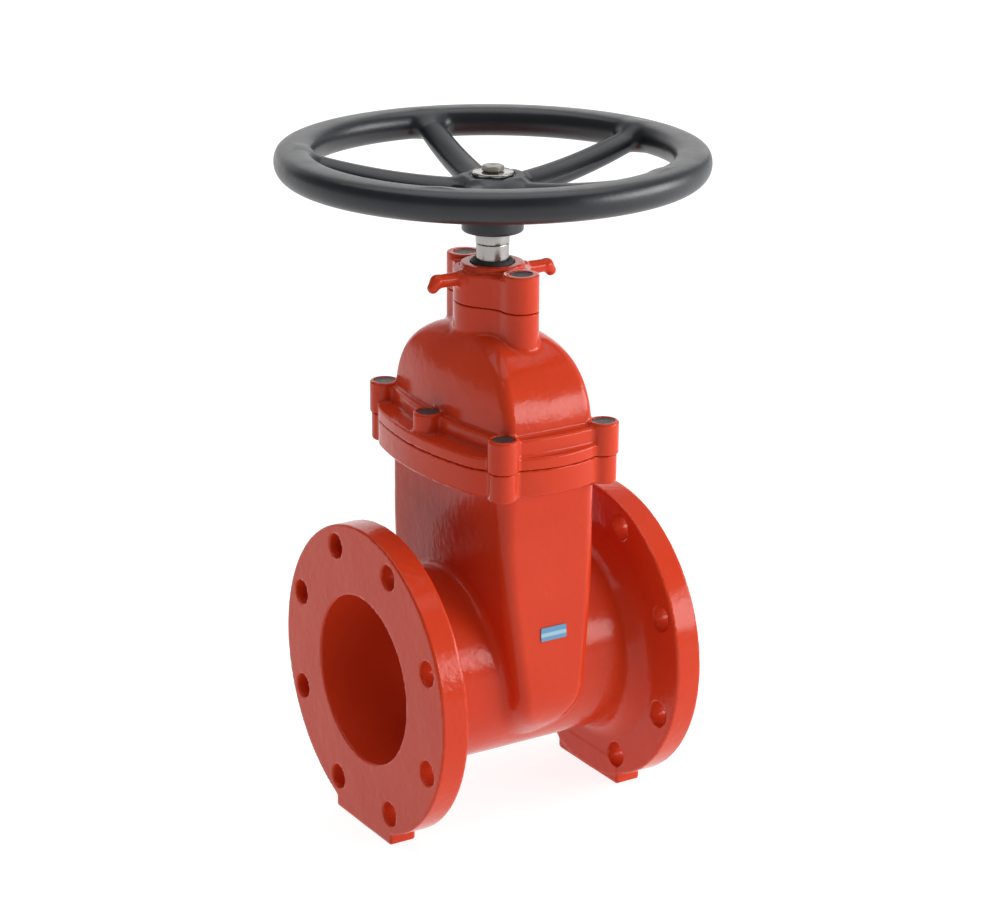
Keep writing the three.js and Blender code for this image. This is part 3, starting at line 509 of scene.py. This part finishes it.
def rounded_profile(corners, steps=3):
    """Closed profile of (radius, height, edge radius) corners with its edges rounded."""
    profile, count = [], len(corners)
    for i, (r, h, edge) in enumerate(corners):
        here = Vector((r, h))
        back = (Vector(corners[i - 1][:2]) - here).normalized()
        ahead = (Vector(corners[(i + 1) % count][:2]) - here).normalized()
        if edge == 0:
            profile.append((r, h))
            continue
        half = back.angle(ahead) / 2
        reach = edge / math.tan(half)
        start, end = here + back * reach, here + ahead * reach
        centre = here + (back + ahead).normalized() * edge / math.sin(half)
        for step in range(steps + 1):
            way = (start - centre).lerp(end - centre, step / steps).normalized() * edge
            profile.append(((centre + way).x, (centre + way).y))
    return profile


# ---------------------------------------------------------------- materials

class Recipe:
    """A node material on one Principled shader, with object coordinates in metres."""

    def __init__(self, name, **sockets):
        self.material = bpy.data.materials.new(name)
        self.material.use_nodes = True
        self.tree = self.material.node_tree
        self.shader = self.tree.nodes["Principled BSDF"]
        for socket, value in sockets.items():
            self.shader.inputs[socket.replace("_", " ")].default_value = value
        self.where = self.node("ShaderNodeTexCoord").outputs["Object"]

    def node(self, kind, **settings):
        made = self.tree.nodes.new(kind)
        for key, value in settings.items():
            setattr(made, key, value)
        return made

    def join(self, output, target):
        self.tree.links.new(output, target)

    def noise(self, scale, detail=3.0, roughness=0.5, stretch=(1, 1, 1)):
        place = self.node("ShaderNodeMapping")
        place.inputs["Scale"].default_value = stretch
        self.join(self.where, place.inputs["Vector"])
        made = self.node("ShaderNodeTexNoise")
        made.inputs["Scale"].default_value = scale
        made.inputs["Detail"].default_value = detail
        made.inputs["Roughness"].default_value = roughness
        self.join(place.outputs["Vector"], made.inputs["Vector"])
        return made.outputs["Fac"]

    def ramp(self, value, stops):
        made = self.node("ShaderNodeValToRGB")
        while len(made.color_ramp.elements) < len(stops):
            made.color_ramp.elements.new(0.5)
        for element, (position, colour) in zip(made.color_ramp.elements, stops):
            element.position = position
            element.color = (*colour, 1.0)
        self.join(value, made.inputs["Fac"])
        return made.outputs["Color"]

    def spread(self, value, low, high):
        made = self.node("ShaderNodeMapRange")
        made.inputs["To Min"].default_value = low
        made.inputs["To Max"].default_value = high
        self.join(value, made.inputs["Value"])
        return made.outputs["Result"]

    def colour(self, value, stops):
        self.join(self.ramp(value, stops), self.shader.inputs["Base Color"])

    def roughness(self, value, low, high):
        self.join(self.spread(value, low, high), self.shader.inputs["Roughness"])

    def bumps(self, *layers):
        """Each layer is (height output, depth in metres); later ones lie on earlier ones."""
        below = None
        for height, depth in layers:
            made = self.node("ShaderNodeBump")
            made.inputs["Distance"].default_value = depth
            self.join(height, made.inputs["Height"])
            if below:
                self.join(below, made.inputs["Normal"])
            below = made.outputs["Normal"]
        self.join(below, self.shader.inputs["Normal"])


def red_epoxy():
    paint = Recipe("red_epoxy_coat", IOR=1.29)
    paint.colour(paint.noise(9, 3), [(0.3, (0.53, 0.036, 0.010)), (0.7, (0.59, 0.046, 0.013))])
    paint.roughness(paint.noise(40, 4), 0.10, 0.24)
    paint.bumps((paint.noise(28, 3), 0.0008), (paint.noise(150, 4), 0.0003), (paint.noise(620, 2), 0.00004))
    return paint.material


def black_enamel():
    paint = Recipe("charcoal_enamel", IOR=1.5)
    paint.colour(paint.noise(14, 4), [(0.3, (0.004, 0.005, 0.008)), (0.7, (0.008, 0.010, 0.014))])
    paint.roughness(paint.noise(60, 4), 0.30, 0.42)
    paint.bumps((paint.noise(30, 2), 0.0003), (paint.noise(260, 5), 0.00012))
    return paint.material


def turned_steel(name, tint=(0.62, 0.61, 0.59), low=0.12, high=0.26):
    steel = Recipe(name, Metallic=1.0)
    rings = steel.noise(240, 3, 0.6, stretch=(0.05, 0.05, 12))
    darker = tuple(0.8 * part for part in tint)
    steel.colour(rings, [(0.25, darker), (0.75, tint)])
    steel.roughness(rings, low, high)
    steel.bumps((rings, 0.00004), (steel.noise(500, 3), 0.00002))
    return steel.material


def metal(name, light, dark, low, high, grain=220):
    made = Recipe(name, Metallic=1.0)
    made.colour(made.noise(grain / 4, 4), [(0.3, dark), (0.7, light)])
    made.roughness(made.noise(grain, 4), low, high)
    made.bumps((made.noise(grain, 4), 0.00006), (made.noise(grain * 4, 2), 0.00002))
    return made.material


def soft_solid(name, light, dark, low, high, grain=160, depth=0.0002):
    made = Recipe(name, IOR=1.48)
    made.colour(made.noise(grain / 5, 4), [(0.3, dark), (0.7, light)])
    made.roughness(made.noise(grain, 3), low, high)
    made.bumps((made.noise(grain / 4, 3), depth), (made.noise(grain * 3, 3), depth / 6))
    return made.material


def blank_label():
    film = Recipe("blue_film", IOR=1.45)
    split = film.node("ShaderNodeSeparateXYZ")
    film.join(film.where, split.inputs["Vector"])
    band = film.node("ShaderNodeMapRange")
    band.inputs["From Min"].default_value, band.inputs["From Max"].default_value = LABEL_BAND
    film.join(split.outputs["Z"], band.inputs["Value"])
    blue, pale = (0.10, 0.26, 0.43), (0.30, 0.45, 0.56)
    stops = [(0.0, blue), (0.12, pale), (0.88, pale), (1.0, blue)]
    film.colour(band.outputs["Result"], stops)
    film.roughness(film.noise(300, 2), 0.25, 0.4)
    film.bumps((film.noise(400, 2), 0.00003))
    return film.material


MATERIALS = {
    "red_epoxy": red_epoxy(),
    "black_enamel": black_enamel(),
    "stainless": turned_steel("polished_stainless", (0.40, 0.385, 0.37)),
    "zinc_steel": metal("zinc_plate", (0.42, 0.40, 0.37), (0.28, 0.26, 0.23), 0.3, 0.45),
    "ductile_iron": metal("raw_iron", (0.16, 0.15, 0.15), (0.08, 0.075, 0.07), 0.55, 0.8, 120),
    "brass": metal("machined_brass", (0.62, 0.46, 0.24), (0.50, 0.36, 0.18), 0.22, 0.38),
    "black_rubber": soft_solid("moulded_rubber", (0.022, 0.022, 0.023), (0.012, 0.012, 0.013), 0.55, 0.75),
    "sealing_wax": soft_solid("poured_wax", (0.060, 0.045, 0.040), (0.030, 0.023, 0.022), 0.35, 0.6,
                              220, 0.0006),
    "nylon": soft_solid("moulded_nylon", (0.70, 0.67, 0.58), (0.62, 0.58, 0.49), 0.35, 0.5),
    "label": blank_label(),
}


def paint(piece, slot):
    piece.data.materials.clear()
    piece.data.materials.append(MATERIALS[slot])


def place(piece, body, slot, *nodes):
    """Gives a piece its finish and its body, and says which CAD nodes it stands for."""
    paint(piece, slot)
    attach(piece, body)
    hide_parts(*nodes)


# ---------------------------------------------------------------- pieces
SHELL, TURNING = "valve_shell", "stem_and_wheel"
SPARE = 6.0
COARSE = 1.0


def cast_piece(name, field, node, body, slot, voxel):
    low, high = (np.array(corner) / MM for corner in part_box(node))
    piece = casting(name, field, low - SPARE, high + SPARE, voxel * COARSE)
    place(piece, body, slot, node)
    return piece


def build_castings():
    cast_piece("body_casting", body_field, "body", SHELL, "red_epoxy", 2.4)
    cast_piece("bonnet_casting", bonnet_field, "bonnet", SHELL, "red_epoxy", 1.5)
    cast_piece("seal_housing_casting", housing_field, "seal_housing", SHELL, "red_epoxy", 0.9)
    cast_piece("handwheel_casting", wheel_field, "handwheel", TURNING, "black_enamel", 1.6)
    cast_piece("stem_shaft", stem_field, "stem", TURNING, "stainless", 0.8)
    cast_piece("wheel_bolt", bolt_field, "handwheel_bolt", TURNING, "zinc_steel", 0.4)


def build_wax_plugs():
    """Poured wax over each sunk bolt, slightly dished."""
    places = [(x, y, BONNET_BOSS_TOP, f"bonnet_bolt_wax_{i + 1}") for i, (x, y) in enumerate(BOLT_PLACES)]
    places += [(0, side * NECK_BOSS_OFFSET, HOUSING_BOSS_TOP, f"housing_bolt_wax_{i + 1}")
               for i, side in enumerate((1, -1))]
    for x, y, top, node in places:
        profile = rounded_profile([(0, top - 3.0, 0), (9.7, top - 3.0, 0.3), (9.7, top - 0.5, 0.4),
                                   (6.0, top - 1.3, 2.0), (0, top - 1.1, 0)])
        place(turned(node + "_poured", profile, 48, (x, y)), SHELL, "sealing_wax", node)


def build_turned_parts():
    ring = rounded_profile([(14.8, 500.8, 0.3), (19, 500.8, 0.4), (19, 505.0, 0.6), (17.2, 507.4, 0.8),
                            (14.8, 507.4, 0.4)])
    spacer = rounded_profile([(13.7, 521.8, 0.2), (14.9, 521.8, 0.2), (14.9, 531.7, 0.4), (13.7, 531.7, 0.2)])
    washer = rounded_profile([(5.3, 580.3, 0.2), (18, 580.3, 0.6), (18, 584.0, 0.9), (5.3, 584.0, 0.3)])
    place(turned("wiper_ring_lip", ring), SHELL, "black_rubber", "wiper_ring")
    place(turned("wheel_spacer_ring", spacer, 96), TURNING, "stainless", "handwheel_spacer")
    place(turned("wheel_washer_ring", washer, 64), TURNING, "stainless", "handwheel_washer")


def finish_frame_nodes():
    """CAD nodes that stay as they are get a detailed material."""
    slots = {part["node"]: part["material_slot"] for part in frame["record"]["subparts"]}
    for node, item in frame["nodes"].items():
        paint(item, slots[node])


# ---------------------------------------------------------------- floor, lights and camera

def soft_light(name, place_at, aim, size, power):
    data = bpy.data.lights.new(name, "AREA")
    data.shape = "RECTANGLE"
    data.size, data.size_y = size
    data.energy = power
    light = bpy.data.objects.new(name, data)
    light.location = place_at
    light.rotation_euler = (Vector(aim) - Vector(place_at)).to_track_quat("-Z", "Y").to_euler()
    bpy.context.scene.collection.objects.link(light)


def build_floor():
    mesh = bpy.data.meshes.new("studio_floor")
    half = 30.0
    corners = [(-half, -half, 0), (half, -half, 0), (half, half, 0), (-half, half, 0)]
    mesh.from_pydata(corners, [], [(0, 1, 2, 3)])
    floor = link("studio_floor", mesh)
    pale = Recipe("pale_floor", Roughness=0.9, Emission_Color=(1, 1, 1, 1), Emission_Strength=0.86)
    pale.colour(pale.noise(3, 2), [(0.3, (0.27, 0.27, 0.27)), (0.7, (0.30, 0.30, 0.30))])
    floor.data.materials.append(pale.material)


def build_air():
    """Sky around the studio, darker on the inlet side."""
    world = bpy.data.worlds.new("studio_air")
    world.use_nodes = True
    tree = world.node_tree
    where = tree.nodes.new("ShaderNodeTexCoord")
    split = tree.nodes.new("ShaderNodeSeparateXYZ")
    fade = tree.nodes.new("ShaderNodeValToRGB")
    fade.color_ramp.elements[0].position = 0.0
    fade.color_ramp.elements[0].color = (0.20, 0.20, 0.20, 1)
    fade.color_ramp.elements[1].position = 0.8
    fade.color_ramp.elements[1].color = (0.60, 0.60, 0.60, 1)
    tree.links.new(where.outputs["Generated"], split.inputs["Vector"])
    tree.links.new(split.outputs["X"], fade.inputs["Fac"])
    tree.links.new(fade.outputs["Color"], tree.nodes["Background"].inputs["Color"])
    bpy.context.scene.world = world


def build_lights():
    middle = (0, 0, 0.3)
    soft_light("key_right", (2.0, -1.7, 0.95), middle, (2.4, 0.9), 64)
    soft_light("top_panel", (0.0, 0.2, 3.2), middle, (3.6, 3.6), 70)
    soft_light("back_panel", (1.5, 4.5, 1.6), middle, (7.0, 3.0), 60)


def build_camera():
    """Camera fitted to the flanges and the wheel rim: azimuth -32.3 degrees, elevation 18.3 degrees."""
    azimuth, elevation, roll = (math.radians(angle) for angle in (-32.28, 18.30, 0.38))
    back = Vector((math.sin(azimuth) * math.cos(elevation), -math.cos(azimuth) * math.cos(elevation),
                   math.sin(elevation)))
    right = (-back).cross(Vector((0, 0, 1))).normalized()
    up = right.cross(-back)
    tilted_right = right * math.cos(roll) + up * math.sin(roll)
    tilted_up = up * math.cos(roll) - right * math.sin(roll)
    data = bpy.data.cameras.new("photo_camera")
    data.sensor_width = 36.0
    data.lens = 99.81
    data.shift_x, data.shift_y = -0.00271, -0.01467
    camera = bpy.data.objects.new("photo_camera", data)
    camera.matrix_world = Matrix((tilted_right, tilted_up, back)).transposed().to_4x4()
    camera.location = (-1.23446, -1.97278, 1.10930)
    bpy.context.scene.collection.objects.link(camera)
    bpy.context.scene.camera = camera
    bpy.context.scene.view_settings.view_transform = "Standard"


build_camera()
finish_frame_nodes()
build_castings()
build_wax_plugs()
build_turned_parts()
build_floor()
build_air()
build_lights()
